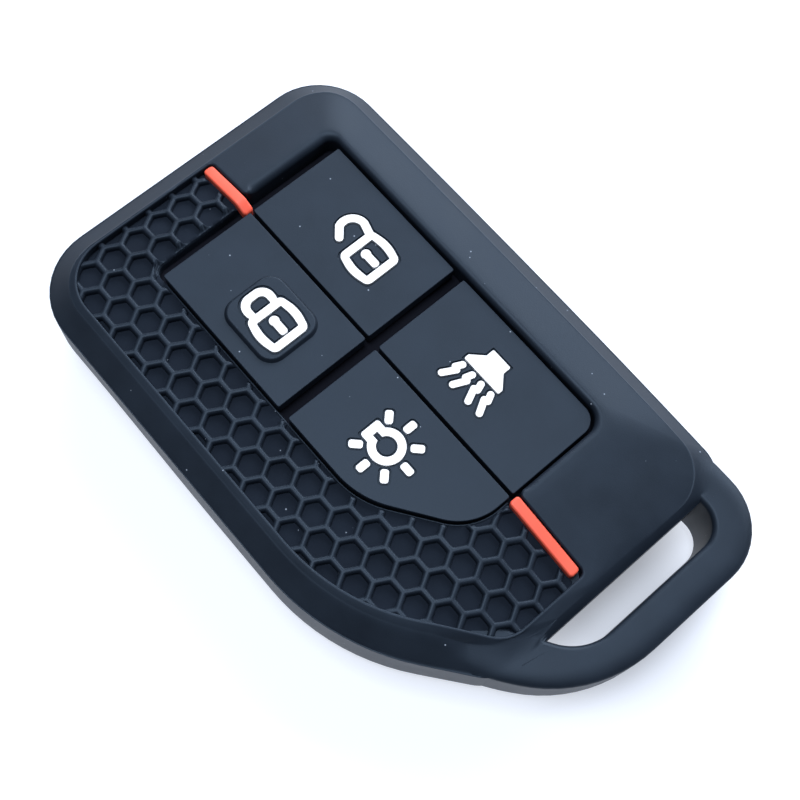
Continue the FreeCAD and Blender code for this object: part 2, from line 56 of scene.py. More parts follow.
MM = 0.001
ARC_STEPS, SIDE_STEPS = 12, 20
back_low, back_high = (np.array(corner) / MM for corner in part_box("back_shell"))
left_x, near_y, _ = back_low
end_x, far_y, parting = back_high
cut_length, cut_depth = 26.7, 20.75
cut_start = np.array([end_x - cut_length, near_y])
cut_span = np.hypot(cut_length, cut_depth)
cut_way = np.array([cut_length, cut_depth]) / cut_span
cut_inward = np.array([-cut_way[1], cut_way[0]])
loop_length, loop_bar, loop_step, loop_lift = 9.53, 5.13, 0.65, 0.05
body_end, slot_outer, loop_far = end_x - loop_length, end_x - loop_bar, far_y - loop_step
body_radii = np.array([10.0, 34.0, 6.0, 4.5, 9.2])
bow_middle, left_bow, end_bow, end_bow_run = 6.0, 0.5, 0.3, 25.6
end_breaks, left_breaks = (3.0, 9.0), (8.5, 3.0)
wall, back_wall, lip = 2.0, 1.8, 7.0
window_radii = [3.0, 12.0, 3.0, 3.0, 3.0]
foot_width, foot_height, lip_round, seam = 2.0, 3.0, 0.6, 0.12
slot_near_margin, slot_far_margin = 21.0, 5.9
slot_near, slot_far = near_y + slot_near_margin, far_y - slot_far_margin
slot_taper, slot_radii = 2.73, (7.7, 3.8)


def soft_min(a, b, reach):
    """The lower of two heights, eased into each other where they differ by less than a reach."""
    share = np.clip(0.5 + 0.5 * (b - a) / reach, 0, 1)
    return b + (a - b) * share - reach * share * (1 - share)


def soft_max(a, b, reach):
    """The higher of two heights, eased in the same way."""
    return -soft_min(-a, -b, reach)


def rounded_path(corners, radii, closed=True):
    """Plan points along a polygon with rounded corners. A corner is an exact arc, written as the
    rational quadratic curve whose middle weight is the cosine of half its turn; a corner on a
    straight side is a short straight run. Each side is split evenly."""
    least_run = 0.3
    corners = np.asarray(corners, float)
    back = np.roll(corners, 1, axis=0) - corners
    ahead = np.roll(corners, -1, axis=0) - corners
    if not closed:
        back[0], ahead[-1] = -ahead[0], -back[-1]
    back /= np.linalg.norm(back, axis=1, keepdims=True)
    ahead /= np.linalg.norm(ahead, axis=1, keepdims=True)
    half_turn = (pi - np.arccos(np.clip((back * ahead).sum(1), -1, 1))) / 2
    run = np.maximum(np.asarray(radii, float) * np.tan(half_turn), least_run)[:, None]
    starts = (corners + back * run)[:, None]
    ends = (corners + ahead * run)[:, None]
    t = np.linspace(0, 1, ARC_STEPS)[None, :, None]
    weight = np.cos(half_turn)[:, None, None] * 2 * t * (1 - t)
    arcs = (starts * (1 - t) ** 2 + corners[:, None] * weight + ends * t ** 2)
    arcs = arcs / ((1 - t) ** 2 + weight + t ** 2)
    share = (np.arange(SIDE_STEPS) + 1)[None, :, None] / (SIDE_STEPS + 1)
    sides = ends + (np.roll(starts, -1, axis=0) - ends) * share
    points = np.concatenate([arcs, sides], axis=1).reshape(-1, 2)
    return points if closed else points[:-SIDE_STEPS]


def inward(path, closed=True):
    """Unit plan normals to the left of the way along a path, which is inwards on a loop."""
    if closed:
        way = np.roll(path, -1, axis=0) - np.roll(path, 1, axis=0)
    else:
        way = np.gradient(path, axis=0)
    way = way / np.linalg.norm(way, axis=1, keepdims=True)
    return np.stack([-way[:, 1], way[:, 0]], axis=1)


def body_loop(insets, radii):
    """Loop inside the body's outline with an inset for each of its near, cut, end, far and left
    sides, and a radius for each corner from the near left one on. Two breaks on the end side and
    two on the left side keep its points in step with the stepped keypad opening. The far side is
    bowed: it falls back with the square of the distance."""
    near, cut, end, far, left = insets
    x0, x1, y0, y1 = left_x + left, body_end - end, near_y + near, far_y - far
    reach = cut_inward @ cut_start + cut
    cut_x = (reach - cut_inward[1] * y0) / cut_inward[0]
    cut_y = (reach - cut_inward[0] * x1) / cut_inward[1]
    corners = [(x0, y0), (cut_x, y0), (x1, cut_y), (x1, end_breaks[0]), (x1, end_breaks[1]), (x1, y1),
               (x0, y1), (x0, left_breaks[0]), (x0, left_breaks[1])]
    a, b, c, d, e = radii
    path = rounded_path(corners, [a, b, c, 0, 0, d, e, 0, 0])
    away = path[:, 0] - bow_middle
    bow = np.where(away < 0, left_bow * (away / (left_x - bow_middle)) ** 2,
                   end_bow * (away / end_bow_run) ** 2)
    path[:, 1] -= bow * np.clip(path[:, 1] / far_y, 0, 1) ** 2
    return path


def inset(step, radii=None):
    """Body loop moved in by one step, with corner radii that follow unless they are given."""
    least_radius = 1.5
    if radii is None:
        radii = np.maximum(body_radii - step, least_radius)
    return body_loop([step] * len(body_radii), radii)


def rows_of(*rows):
    """Grid of points, one row for each plan path with its height and, where given, its wear with painted
    highlight.
    """
    return np.stack([np.column_stack([plan, *(np.broadcast_to(value, len(plan))
                                              for value in (*values, 0)[:2])])
                     for plan, *values in rows])


def quads(rows, columns, close_rows, close_columns):
    """Faces of a grid of points taken row by row, joined round where a way is closed."""
    r = np.arange(rows if close_rows else rows - 1)[:, None]
    c = np.arange(columns if close_columns else columns - 1)[None, :]
    r1, c1 = (r + 1) % rows, (c + 1) % columns
    corners = [r * columns + c, r * columns + c1, r1 * columns + c1, r1 * columns + c]
    return np.stack(corners, -1).reshape(-1, 4)


def finished(name, points, faces, material, body, sharp, marks=0):
    """Object of points in mm, each with its wear and painted highlight, and of faces, each marked with
    its material. Its doubles are merged, and it has faces outwards and soft shading."""
    merge_reach = 0.002
    mesh = bpy.data.meshes.new(name)
    mesh.from_pydata((points[:, :3] * MM).tolist(), [], faces)
    mesh.attributes.new("edge_wear_and_highlight", "FLOAT", "POINT").data.foreach_set("value", points[:, 3])
    mesh.polygons.foreach_set("material_index", np.broadcast_to(marks, len(faces)))
    shape = bmesh.new()
    shape.from_mesh(mesh)
    bmesh.ops.remove_doubles(shape, verts=shape.verts, dist=merge_reach * MM)
    bmesh.ops.recalc_face_normals(shape, faces=shape.faces)
    shape.to_mesh(mesh)
    shape.free()
    mesh.shade_smooth()
    mesh.set_sharp_from_angle(angle=radians(sharp))
    mesh.materials.append(material)
    made = bpy.data.objects.new(name, mesh)
    bpy.context.scene.collection.objects.link(made)
    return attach(made, body)


def piece(name, grids, material, body, sharp=35):
    """Object of one or more grids, each (points in mm, rows closed, columns closed). A grid whose
    columns are open is a tube and gets a flat end at its first and last column."""
    points, faces, first = [], [], 0
    for grid, close_rows, close_columns in grids:
        rows, columns = grid.shape[:2]
        faces += (quads(rows, columns, close_rows, close_columns) + first).tolist()
        if close_rows and not close_columns:
            ring = np.arange(rows) * columns + first
            faces += [ring.tolist(), (ring + columns - 1).tolist()]
        points.append(grid.reshape(-1, 4))
        first += rows * columns
    return finished(name, np.concatenate(points), faces, material, body, sharp)


def linear(code, alpha=1.0):
    """An sRGB hex colour as linear values, by the standard's straight toe and power curve."""
    values = np.array([int(code[i:i + 2], 16) for i in (1, 3, 5)]) / 255
    values = np.where(values <= 0.04045, values / 12.92, ((values + 0.055) / 1.055) ** 2.4)
    return (*values, alpha)


def add(tree, kind, settings=(), **links):
    """A node with its settings and its inputs, each called by its label or by i and its number: a
    socket to link from, or a plain value."""
    node = tree.nodes.new("ShaderNode" + kind)
    for key, value in dict(settings).items():
        setattr(node, key, value)
    for key, value in links.items():
        socket = node.inputs[int(key[1:]) if key[1:].isdigit() else key.replace("_", " ")]
        if isinstance(value, bpy.types.NodeSocket):
            tree.links.new(value, socket)
        else:
            socket.default_value = value
    return node


def silicone(name, dark, light, sheen, roughness, grain_height, dust):
    """Moulded silicone rubber: a soft satin skin with a fine spark-eroded grain, colour that clouds
    slowly over a few millimetres, edges rubbed grey, partly as wear and partly as a painted
    highlight, and a few specks of lint, because silicone draws dust. The sheen tints what it mirrors
    seen from above, but not at a grazing angle."""
    cloud_size, cloud_low, cloud_high, roughness_spread = 7.0, 0.3, 0.7, 0.03
    speck_spacing, speck_core, speck_edge, grain_size = 2.3, 0.07, 0.12, 0.16
    rubbed_highlight_colour, lint_colour = linear("#3d4753"), linear("#8f9aa8")
    material = bpy.data.materials.new(name)
    material.use_nodes = True
    tree = material.node_tree
    shader = tree.nodes["Principled BSDF"]
    place = add(tree, "TexCoord").outputs["Object"]
    cloud = add(tree, "TexNoise", Vector=place, Scale=1 / (cloud_size * MM), Detail=3.0, Roughness=0.55)
    tone = add(tree, "ValToRGB", i0=cloud.outputs["Fac"])
    for end, position, colour in zip(tone.color_ramp.elements, (cloud_low, cloud_high), (dark, light)):
        end.position, end.color = position, linear(colour)
    specks = add(tree, "TexVoronoi", Vector=place, Scale=1 / (speck_spacing * MM), Randomness=1.0)
    speck = add(tree, "MapRange", Value=specks.outputs["Distance"], From_Min=speck_core / speck_spacing,
                From_Max=speck_edge / speck_spacing, To_Min=1.0, To_Max=0.0)
    chance = add(tree, "SeparateColor", Color=specks.outputs["Color"])
    picked = add(tree, "Math", {"operation": "LESS_THAN"}, i0=chance.outputs["Red"], i1=dust)
    shown = add(tree, "Math", {"operation": "MULTIPLY"}, i0=speck.outputs["Result"],
                i1=picked.outputs[0])
    # Rubbed grey on marked edges: partly wear, partly a painted highlight where an edge catches light.
    wear_highlight = add(tree, "Attribute", {"attribute_name": "edge_wear_and_highlight"})
    rubbed_highlight = add(tree, "Mix", {"data_type": "RGBA"}, i0=wear_highlight.outputs["Fac"], i6=tone.outputs["Color"],
                 i7=rubbed_highlight_colour)
    coat = add(tree, "Mix", {"data_type": "RGBA"}, i0=shown.outputs[0], i6=rubbed_highlight.outputs[2],
               i7=lint_colour)
    tree.links.new(coat.outputs[2], shader.inputs["Base Color"])
    grain = add(tree, "TexNoise", Vector=place, Scale=1 / (grain_size * MM), Detail=2.0)
    bump = add(tree, "Bump", Strength=0.35, Distance=grain_height * MM, Height=grain.outputs["Fac"])
    tree.links.new(bump.outputs["Normal"], shader.inputs["Normal"])
    rough = add(tree, "MapRange", Value=cloud.outputs["Fac"], From_Min=cloud_low, From_Max=cloud_high,
                To_Min=roughness - roughness_spread, To_Max=roughness + roughness_spread)
    tree.links.new(rough.outputs["Result"], shader.inputs["Roughness"])
    shader.inputs["IOR"].default_value = 1.39
    shader.inputs["Specular Tint"].default_value = linear(sheen)
    return material


# Matte black silicone: carbon black in clear rubber gives a deep blue-grey with a broad soft sheen.
black_silicone = silicone("black_silicone_moulded", "#141a23", "#1a212b", sheen="#cbe6ff",
                          roughness=0.5, grain_height=0.03, dust=0.7)


def belly(x):
    """Height of the back surface: level in the middle, eased up to a lift of 3 mm at both ends."""
    lift, level_left, level_end, left_run, ease = 3.0, 36.5, 29.5, 18.0, 0.8
    left_rise = (left_x + level_left - x) / left_run * lift
    end_rise = (x - end_x + level_end) / level_end * lift
    risen = soft_max(soft_max(left_rise, end_rise, ease), 0 * x, ease)
    return soft_min(risen, lift + 0 * x, ease)


def quarter(steps):
    """Sines and cosines of even steps over a quarter turn."""
    angle = np.linspace(0, pi / 2, steps)
    return list(zip(np.sin(angle), np.cos(angle)))


def outside_rows(outer, side):
    """Rows of an outer wall from the parting line down to the back: a seam, the upright wall and an
    edge rounded by a quarter ellipse."""
    rows = [(outer + side * seam, parting), (outer, parting - seam), (outer, parting - 2 * wall)]
    for sine, cosine in quarter(steps=9):
        plan = outer + side * foot_width * (1 - cosine)
        rows.append((plan, belly(plan[:, 0]) + foot_height * (1 - sine)))
    return rows


def mouth_rows(edge, side):
    """Rows over the edge of an opening in the back, rounded by a quarter circle."""
    rows = []
    for sine, cosine in quarter(steps=6):
        plan = edge - side * lip_round * (1 - sine)
        rows.append((plan, belly(plan[:, 0]) + lip_round * (1 - cosine)))
    return rows


def sleeve_back():
    """Closed profile carried round the body: outer wall, belly, window edge, inner floor, cavity
    wall and rim."""
    belly_shares = (0.3, 0.6, 0.9)
    outer, inner, window = inset(0), inset(wall), inset(wall + lip, window_radii)
    side = inward(outer)
    rows = outside_rows(outer, side)
    for share in belly_shares:
        plan = (outer + side * foot_width) * (1 - share) + window * share
        rows.append((plan, belly(plan[:, 0])))
    rows += mouth_rows(window, inward(window))
    rows += [(window, belly(window[:, 0]) + back_wall), (inner, belly(inner[:, 0]) + back_wall),
             (inner, parting)]
    return rows_of(*rows)


def loop_paths():
    """Outer edge of the key ring loop and the slot's edge beside it, from the tapered near end of
    the slot round to its far end. Both run on into the body, where they are out of sight."""
    hidden, shallow, just_in = 10.0, 5.0, 1.0
    cut_share, far_bend, far_drop = 0.61, 2.4, 1.495
    loop_radii = (36.0, 20.0, 9.0, 7.0)
    on_cut = cut_start + cut_way * cut_span * cut_share
    outer = [(body_end - hidden, on_cut[1] - shallow), on_cut, (end_x, near_y + cut_depth),
             (end_x, loop_far), (body_end - far_bend, loop_far), (body_end - hidden, far_y - far_drop)]
    slope = slot_taper / (slot_outer - body_end)
    edge = [(body_end - shallow, slot_near - shallow * slope),
            (body_end - just_in, slot_near - just_in * slope), (slot_outer, slot_near + slot_taper),
            (slot_outer, slot_far), (body_end - just_in, slot_far), (body_end - shallow, slot_far)]
    return (rounded_path(outer, [0, *loop_radii, 0], False),
            rounded_path(edge, [0, 0, *slot_radii, 0, 0], False))


def loop_back():
    """Closed profile carried along the loop: outer wall, underside and slot wall. The underside lies
    a little above the body's, so that the two never share a plane."""
    outer, edge = loop_paths()
    rows = outside_rows(outer, inward(outer, False)) + mouth_rows(edge, inward(edge, False))
    return rows_of(*((plan, np.minimum(height + loop_lift, parting)) for plan, height in rows),
                   (edge, parting))


back = piece("sleeve_back", [(sleeve_back(), True, True), (loop_back(), True, False)],
             black_silicone, "sleeve")
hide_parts("back_shell")


# Front shell: the upper half, a broad frame that slopes down on all sides from the keypad opening,
# with a stepped recess for the grip. Same black silicone, moulded with the back in one piece; the
# parting line of the mould runs round its foot.

plate_thick, pad_gap = 0.7, 0.4
plate_low, roof_top = (corner.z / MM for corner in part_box("front_shell"))
plate_high = plate_low + plate_thick
pads_left, pads_near = (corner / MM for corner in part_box("pad_lock")[0][:2])
pads_end, pads_far = (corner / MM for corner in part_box("pad_lamp")[1][:2])
stripe_low, stripe_high = (np.array(corner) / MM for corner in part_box("stripe_right"))
stripe_y = (stripe_low[1] + stripe_high[1]) / 2
panel_left_margin, panel_end_margin, panel_far_margin = 2.0, 0.83, 0.85
panel_left, panel_end = pads_left - panel_left_margin, pads_end + panel_end_margin
panel_far = pads_far + panel_far_margin
frame_left, frame_end, frame_near, frame_cut, stripe_room = 3.43, 3.0, 4.2, 5.0, 0.93
recess_left, recess_end, recess_top = left_x + frame_left, body_end - frame_end, stripe_y + stripe_room
recess_near, recess_cut = near_y + frame_near, cut_inward @ cut_start + frame_cut
recess_radii = [6.7, 30.0, 5.0]
loop_round, loop_reach = 0.8, 2.4


def roof(x, y):
    """Height of the frame: a level top that falls away in four planes, all eased into each other."""
    ease, level_lift, near_start, near_fall = 0.5, 0.1, 5.2, 0.065
    far_drop, left_drop, end_drop = 1.99, 2.23, 2.83
    level = roof_top + level_lift + 0 * x
    far = roof_top - (y - panel_far) * far_drop / (far_y - panel_far)
    left = roof_top - (panel_left - x) * left_drop / (panel_left - left_x)
    end = roof_top - (x - panel_end) * end_drop / (body_end - panel_end)
    near = roof_top - (stripe_y - near_start - y) * near_fall
    ways = soft_min(soft_min(far, near, ease), soft_min(left, end, ease), ease)
    return soft_min(level, ways, ease)


def recess_corners(gap):
    """Near, cut and end corners of the grip recess, moved in by a gap."""
    x0, x1, y0 = recess_left + gap, recess_end - gap, recess_near + gap
    cut_x = (recess_cut + gap - cut_inward[1] * y0) / cut_inward[0]
    cut_y = (recess_cut + gap - cut_inward[0] * x1) / cut_inward[1]
    return [(x0, y0), (cut_x, y0), (x1, cut_y)]


def opening_loop():
    """Edge of the keypad opening together with the grip recess, a stepped loop."""
    step_radii = (0.8, 1.0, 2.7, 1.5, 1.0, 0.8)
    right, far = pads_end + pad_gap, pads_far + pad_gap
    corners = [*recess_corners(0), (recess_end, recess_top), (right, recess_top), (right, far),
               (panel_left, far), (panel_left, recess_top), (recess_left, recess_top)]
    return rounded_path(corners, [*recess_radii, *step_radii])


def loop_height(x, y):
    """Top of the key ring loop as a height over the plan, with quarter ellipses for its edges."""
    hidden = 8.5
    outer, _ = loop_paths()
    start = outer[0]
    way = outer[ARC_STEPS + SIDE_STEPS] - start
    way = way / np.linalg.norm(way)
    near = np.minimum((y - start[1]) * way[0] - (x - start[0]) * way[1],
                      (x - cut_start[0]) * cut_inward[0] + (y - cut_start[1]) * cut_inward[1])
    rim = np.abs(y - (slot_near + slot_far) / 2) - (slot_far - slot_near) / 2
    outside = np.minimum(loop_far - y, near) * loop_round / loop_reach
    room = np.minimum(outside, np.minimum(rim, x - body_end + hidden))
    short = 1 - np.clip(room / loop_round, 0, 1)
    return parting + loop_round * np.sqrt(1 - short ** 2)


def sleeve_front():
    """Closed profile carried round the body: underside, wall of the opening, rounded rim, roof,
    crease, flank and foot. The rim is an upright quarter ellipse, wider and deeper beside the pads
    than beside the grip. Roof and flank are two heights eased into each other at the crease, which
    is rounded beside the slot and crisp elsewhere, with a fine bell-shaped bead where the mould's
    halves meet. On the near and cut sides the strip between grip and crease leans outwards."""
    crease_insets, crease_radii = (3.0, 3.6, 1.1, 2.5, 3.03), (7.0, 32.0, 13.0, 6.0, 6.5)
    pads_start, pads_run, left_run = 0.3, 1.2, 1.5
    rim_widths, rim_drops = np.array([0.34, 0.66, 0.5]), np.array([0.3, 0.55, 0.3])
    slot_margin, slot_run, crisp, rounding, strip_slope = 1.0, 4.0, 0.12, 0.6, 0.29
    bead_height, bead_loss, bead_width = 0.055, 0.035, 0.11
    wear_highlight_most, wear_highlight_loss, wear_highlight_width, wear_highlight_run = 0.3, 0.2, 0.13, 1.0
    loop_clear, loop_ease, toe, toe_ease, foot_gap = 0.003, 0.6, 0.1, 0.05, 0.1
    # Rows on roof and flank: the share of the way across and the least distance from the crease.
    roof_rows = ((0.1, 0), (0.25, 0), (0.4, 0), (0.55, 0.46), (0.7, 0.42), (0.85, 0.36))
    flank_rows = ((0.2, 0.38), (0.3, 0.44), (0.45, 0), (0.6, 0), (0.75, 0), (0.88, 0), (0.96, 0))
    crease_rows = np.array([0.04, 0.08, 0.13, 0.2, 0.3])

    outer, crease, opening = inset(0), body_loop(crease_insets, crease_radii), opening_loop()
    beside = np.clip((opening[:, 1] - recess_top - pads_start) / pads_run, 0, 1)
    leftmost = beside * np.clip((panel_left + left_run - opening[:, 0]) / left_run, 0, 1)
    parts = np.stack([np.ones(len(opening)), beside, leftmost])
    rim_reach, rim_drop = rim_widths @ parts, rim_drops @ parts
    rim = opening - inward(opening) * rim_reach[:, None]
    inward_x, inward_y = inward(crease).T
    facing, endward = np.clip(inward_y, 0, 1), np.clip(-inward_x, 0, 1)
    endward = endward * np.clip((slot_far + slot_margin - crease[:, 1]) / slot_run, 0, 1)
    lean = strip_slope * facing
    rows = [(opening, plate_low), (opening, roof(*opening.T) - rim_drop - seam)]
    for sine, cosine in quarter(steps=8)[::-1]:
        plan = opening + (rim - opening) * (1 - sine)
        rows.append((plan, roof(*plan.T) - lean * rim_reach * (1 - sine) - rim_drop * (1 - cosine)))

    gap, span = np.linalg.norm(rim - crease, axis=1), np.linalg.norm(outer - crease, axis=1)
    rise = roof(*crease.T) - lean * (rim_reach + gap) - parting
    crease_ease = crisp + rounding * endward
    bead = (bead_height - bead_loss * facing) * (1 - endward)
    # Rubbed grey along the crease: partly wear, partly a painted highlight of its rounded edge.
    rubbed_highlight = (wear_highlight_most - wear_highlight_loss * facing) * (1 - endward)
    steps = [-np.maximum(gap * (1 - share), least) for share, least in roof_rows]
    steps += [np.full(len(gap), step) for step in (*-crease_rows[::-1], 0, *crease_rows)]
    steps += [np.maximum(span * share, least) for share, least in flank_rows]
    for step in steps:
        plan = crease + np.where(step < 0, step / gap, 0)[:, None] * (crease - rim)
        plan = plan + np.where(step > 0, step / span, 0)[:, None] * (outer - crease)
        flank = parting + rise * (1 - step / span)
        top = roof(*plan.T) - lean * (rim_reach + np.minimum(gap + step, gap))
        body = soft_min(flank, top, crease_ease) + bead * np.exp(-(step / bead_width) ** 2)
        loop = loop_height(*plan.T)
        wear_highlight = rubbed_highlight * np.exp(-(step / wear_highlight_width) ** 2) * np.clip((body - loop) / wear_highlight_run, 0, 1)
        rows.append((plan, soft_max(body, loop + loop_clear, seam + loop_ease * (loop - parting)), wear_highlight))
    foot = inset(wall + foot_gap)
    rows += [(outer, soft_max(parting + toe + 0 * span, loop_height(*outer.T), toe_ease)),
             (outer + inward(outer) * seam, parting), (foot, parting), (foot, plate_low)]
    return rows_of(*rows)


def loop_front():
    """Closed profile carried along the loop: an outer edge that is a wide quarter ellipse, a level
    top, and a slot edge rounded by a quarter circle."""
    toe = 0.05
    outer, edge = loop_paths()
    side, edge_side = inward(outer, False), inward(edge, False)
    start, rise = parting + toe, loop_round - toe
    rows = [(outer + side * seam, parting), (outer, start)]
    rows += [(outer + side * loop_reach * (1 - cosine), start + rise * sine)
             for sine, cosine in quarter(steps=12)]
    rows += [(edge - edge_side * loop_round * (1 - cosine), start + rise * sine)
             for sine, cosine in quarter(steps=8)[::-1]]
    return rows_of(*rows, (edge, parting))


light_low, light_high = (np.array(corner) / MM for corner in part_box("pad_light"))
light_cut_along, light_cut_up, light_radii = 0.47, 0.583, (13.0, 7.9)
light_cut = [(pads_end - (pads_end - light_low[0]) * light_cut_along, pads_near),
             (pads_end, pads_near + (light_high[1] - pads_near) * light_cut_up)]
ledge_gap, ledge_half, ledge_corner, stripe_gap, cell_floor = 0.32, 0.13, 1.5, 0.1, 1.45


def beside_pads(gap):
    """Plan corners along the grip side of the keypad, a gap outside its near, cut and end sides and
    as far outside the edge of the opening on its left."""
    way = np.subtract(light_cut[1], light_cut[0])
    way = way / np.linalg.norm(way)
    reach = way[1] * light_cut[0][0] - way[0] * light_cut[0][1] + gap
    x0, x1 = panel_left + ledge_gap - gap, pads_end + gap
    y0, y1 = pads_near - gap, stripe_low[1] - stripe_gap
    cut_x = (reach + way[0] * y0) / way[1]
    cut_y = (way[1] * x1 - reach) / way[0]
    return [(x0, y1), (x0, y0), (cut_x, y0), (x1, cut_y), (x1, y1)]


def keypad_ledge():
    """Thin lip carried along the grip side of the keypad, with a round top. It stays below the grip
    on the keypad's left, and ramps up to stand a little above it on the near side."""
    rise, drop, ramp, steps = 0.1, 0.3, 1.0, 7
    line = rounded_path(beside_pads(ledge_gap), [0, ledge_corner, *light_radii, 0], False)
    side = inward(line, False)
    shown = np.clip((line[:, 0] - pads_left) / ramp, 0, 1)
    high = roof(*line.T) - cell_floor - drop + (drop + rise) * shown - ledge_half
    angle = np.linspace(-pi / 2, pi / 2, steps)
    rows = [(line + side * ledge_half * sine, high + ledge_half * cosine)
            for sine, cosine in zip(np.sin(angle), np.cos(angle))]
    return rows_of((line - side * ledge_half, plate_high), *rows, (line + side * ledge_half, plate_high))


def nonzero(values):
    """Values to divide by, with a tiny one in the place of nought."""
    tiny = 1e-9
    return np.where(np.abs(values) < tiny, tiny, values)


def plate_tile(name):
    """A quarter of the plate behind the keypad with the round hole for a pad's nub: the ring between
    the hole and the quarter's own edge, found along rays from the hole's middle. One more ray meets
    the corner that the four quarters share."""
    rays, hole_radius, overlap = 240, 4.0, 0.02
    low, high = (np.array(corner)[:2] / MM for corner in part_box("pad_" + name))
    middle = (low + high) / 2
    opening = opening_loop()
    split_x = (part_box("pad_lock")[1].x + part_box("pad_light")[0].x) / 2 / MM
    corner_x, corner_y = (split_x, recess_top) - middle
    angle = np.append(np.arange(rays) * 2 * pi / rays, np.arctan2(corner_y, corner_x))
    angle = np.sort(angle % (2 * pi))
    ray = np.column_stack([np.cos(angle), np.sin(angle)])
    start, way = opening - middle, np.roll(opening, -1, axis=0) - opening
    cross = nonzero(ray[:, :1] * way[:, 1] - ray[:, 1:] * way[:, 0])
    reach = (start[:, 0] * way[:, 1] - start[:, 1] * way[:, 0]) / cross
    share = (start[:, 0] * ray[:, 1:] - start[:, 1] * ray[:, :1]) / cross
    reach = np.where((share >= 0) & (share <= 1) & (reach > 0), reach, np.inf).min(1)
    for axis, split in enumerate((corner_x, corner_y)):
        gone = split / nonzero(ray[:, axis])
        reach = np.minimum(reach, np.where(gone > 0, gone, np.inf))
    edge, hole = middle + ray * (reach + overlap)[:, None], middle + ray * hole_radius
    return rows_of((hole, plate_low), (hole, plate_high), (edge, plate_high), (edge, plate_low))


pad_names = ["unlock", "lock", "lamp", "light"]
front = piece("sleeve_front", [(sleeve_front(), True, True), (loop_front(), True, False),
                               (keypad_ledge(), True, False),
                               *((plate_tile(name), True, True) for name in pad_names)],
              black_silicone, "sleeve")
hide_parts("front_shell")


# Keypad: four thick pads, hung by thin webs on one soft sheet, so that each sinks to press the
# fob's own button. The same black silicone; the sheet lies deep in the grooves between the pads,
# and it and the webs are painted darker there as shade.

# Black silicone sheet: the thin film at the bottom of the grooves, bare of the mould's texture;
# its darker colour and dulled sheen are painted shade for the deep grooves.
sheet_silicone_painted_shade = silicone("black_silicone_sheet_painted_shade", "#12131a", "#14161d", sheen="#4e555e",
                          roughness=0.75, grain_height=0.01, dust=0.0)
for name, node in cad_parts.items():
    if name.startswith(("pad_", "keypad_")):
        node.data.materials.clear()
        node.data.materials.append(black_silicone if name.startswith("pad_") else sheet_silicone_painted_shade)


def pad_web(name):
    """Closed profile carried round a pad: a thin wall that leans in from the sheet to the pad."""
    foot_in, top_in, thick, corner_radius, cut_radii = 0.4, 1.1, 0.4, 1.5, (8.0, 5.0)
    (x0, y0, _), (x1, y1, _) = (np.array(corner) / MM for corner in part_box("pad_" + name))
    foot, top = (corner.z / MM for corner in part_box("web_" + name))
    corners = [(x0, y0), *(light_cut if name == "light" else [(x1, y0)]), (x1, y1), (x0, y1)]
    radii = [corner_radius, *(cut_radii if name == "light" else [corner_radius]), *[corner_radius] * 2]
    plan = rounded_path(corners, radii)
    side = inward(plan)
    return rows_of((plan + side * foot_in, foot), (plan + side * top_in, top),
                   (plan + side * (top_in + thick), top), (plan + side * (foot_in + thick), foot))


for name in pad_names:
    web = piece("keypad_web_" + name, [(pad_web(name), True, True)], sheet_silicone_painted_shade, "sleeve")
    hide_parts("web_" + name)
    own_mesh(web)


# White symbols: an open and a closed padlock, a lamp and a light bulb, one on each pad. Inserts of
# white silicone, moulded into the pads in a second shot and standing a little proud of a fine moat.

# White silicone: titanium white in clear rubber, a clean bright white with hardly any sheen.
white_silicone = silicone("white_silicone_moulded", "#f1f3f4", "#fafbfb", sheen="#ffffff",
                          roughness=0.42, grain_height=0.01, dust=0.0)
for name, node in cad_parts.items():
    if name.startswith("icon_"):
        node.data.materials.clear()
        node.data.materials.append(white_silicone)


# Honeycomb grip: a textured inlay on three sides of the keypad, open six-sided cells between
# rounded ribs that run into the frame and end a little before the keypad. Black silicone, moulded
# into the recess of the frame below its surface.

cell_pitch, cell_first_x, cell_first_y = 3.95, 50.92, 9.2
rib_height, rib_half, hidden_edge, backing_depth = 0.9, 0.5, 0.2, 0.5
floor_shares = np.array([0, 0.5, 0.95])

# Eroded black silicone: the mould's cells are spark eroded, so their floors are dead matte and dark.
eroded_silicone = silicone("black_silicone_eroded", "#1a2029", "#1f2630", sheen="#4c5661",
                           roughness=0.85, grain_height=0.04, dust=0.5)


def grip_edge():
    """Closed plan edge of the grip: the recess's wall on the outside and the ledge on the inside."""
    wall_gap, ledge_clear, tip = 0.05, 0.02, 0.1
    (x0, y0), on_cut, (x1, cut_y) = recess_corners(wall_gap)
    y1 = stripe_low[1] - stripe_gap
    inner = beside_pads(ledge_gap + ledge_half + ledge_clear)[::-1]
    corners = [(x0, y1), (x0, y0), on_cut, (x1, cut_y), (x1, y1), *inner]
    return rounded_path(corners, [tip, *recess_radii, tip, tip, *light_radii[::-1], ledge_corner, tip])


def honeycomb_cell():
    """Plan points of one cell as six-sided rings from its middle to the crest of its ribs, eased
    towards circles on the floor, and the rise of each ring. A rib's section is a half superellipse."""
    rib_fullness, side_points, circle_share, circle_size = 2.6, 6, 0.22, 1.05
    apothem = cell_pitch / 2
    sine, cosine = np.clip(np.array(quarter(steps=9)).T, 0, 1) ** (2 / rib_fullness)
    rings = np.concatenate([floor_shares * (apothem - rib_half), apothem - rib_half * cosine])
    arch = np.concatenate([0 * floor_shares, sine])
    angle = np.arange(7) * pi / 3
    corner = np.column_stack([np.cos(angle), np.sin(angle)]) * 2 / sqrt(3)
    share = np.arange(side_points)[None, :, None] / side_points
    ring = (corner[:-1, None] * (1 - share) + corner[1:, None] * share).reshape(-1, 2)
    circle = ring / np.linalg.norm(ring, axis=1, keepdims=True) * circle_size
    soft = (1 - arch)[:, None, None] * circle_share
    return rings[:, None, None] * (ring * (1 - soft) + circle * soft), arch


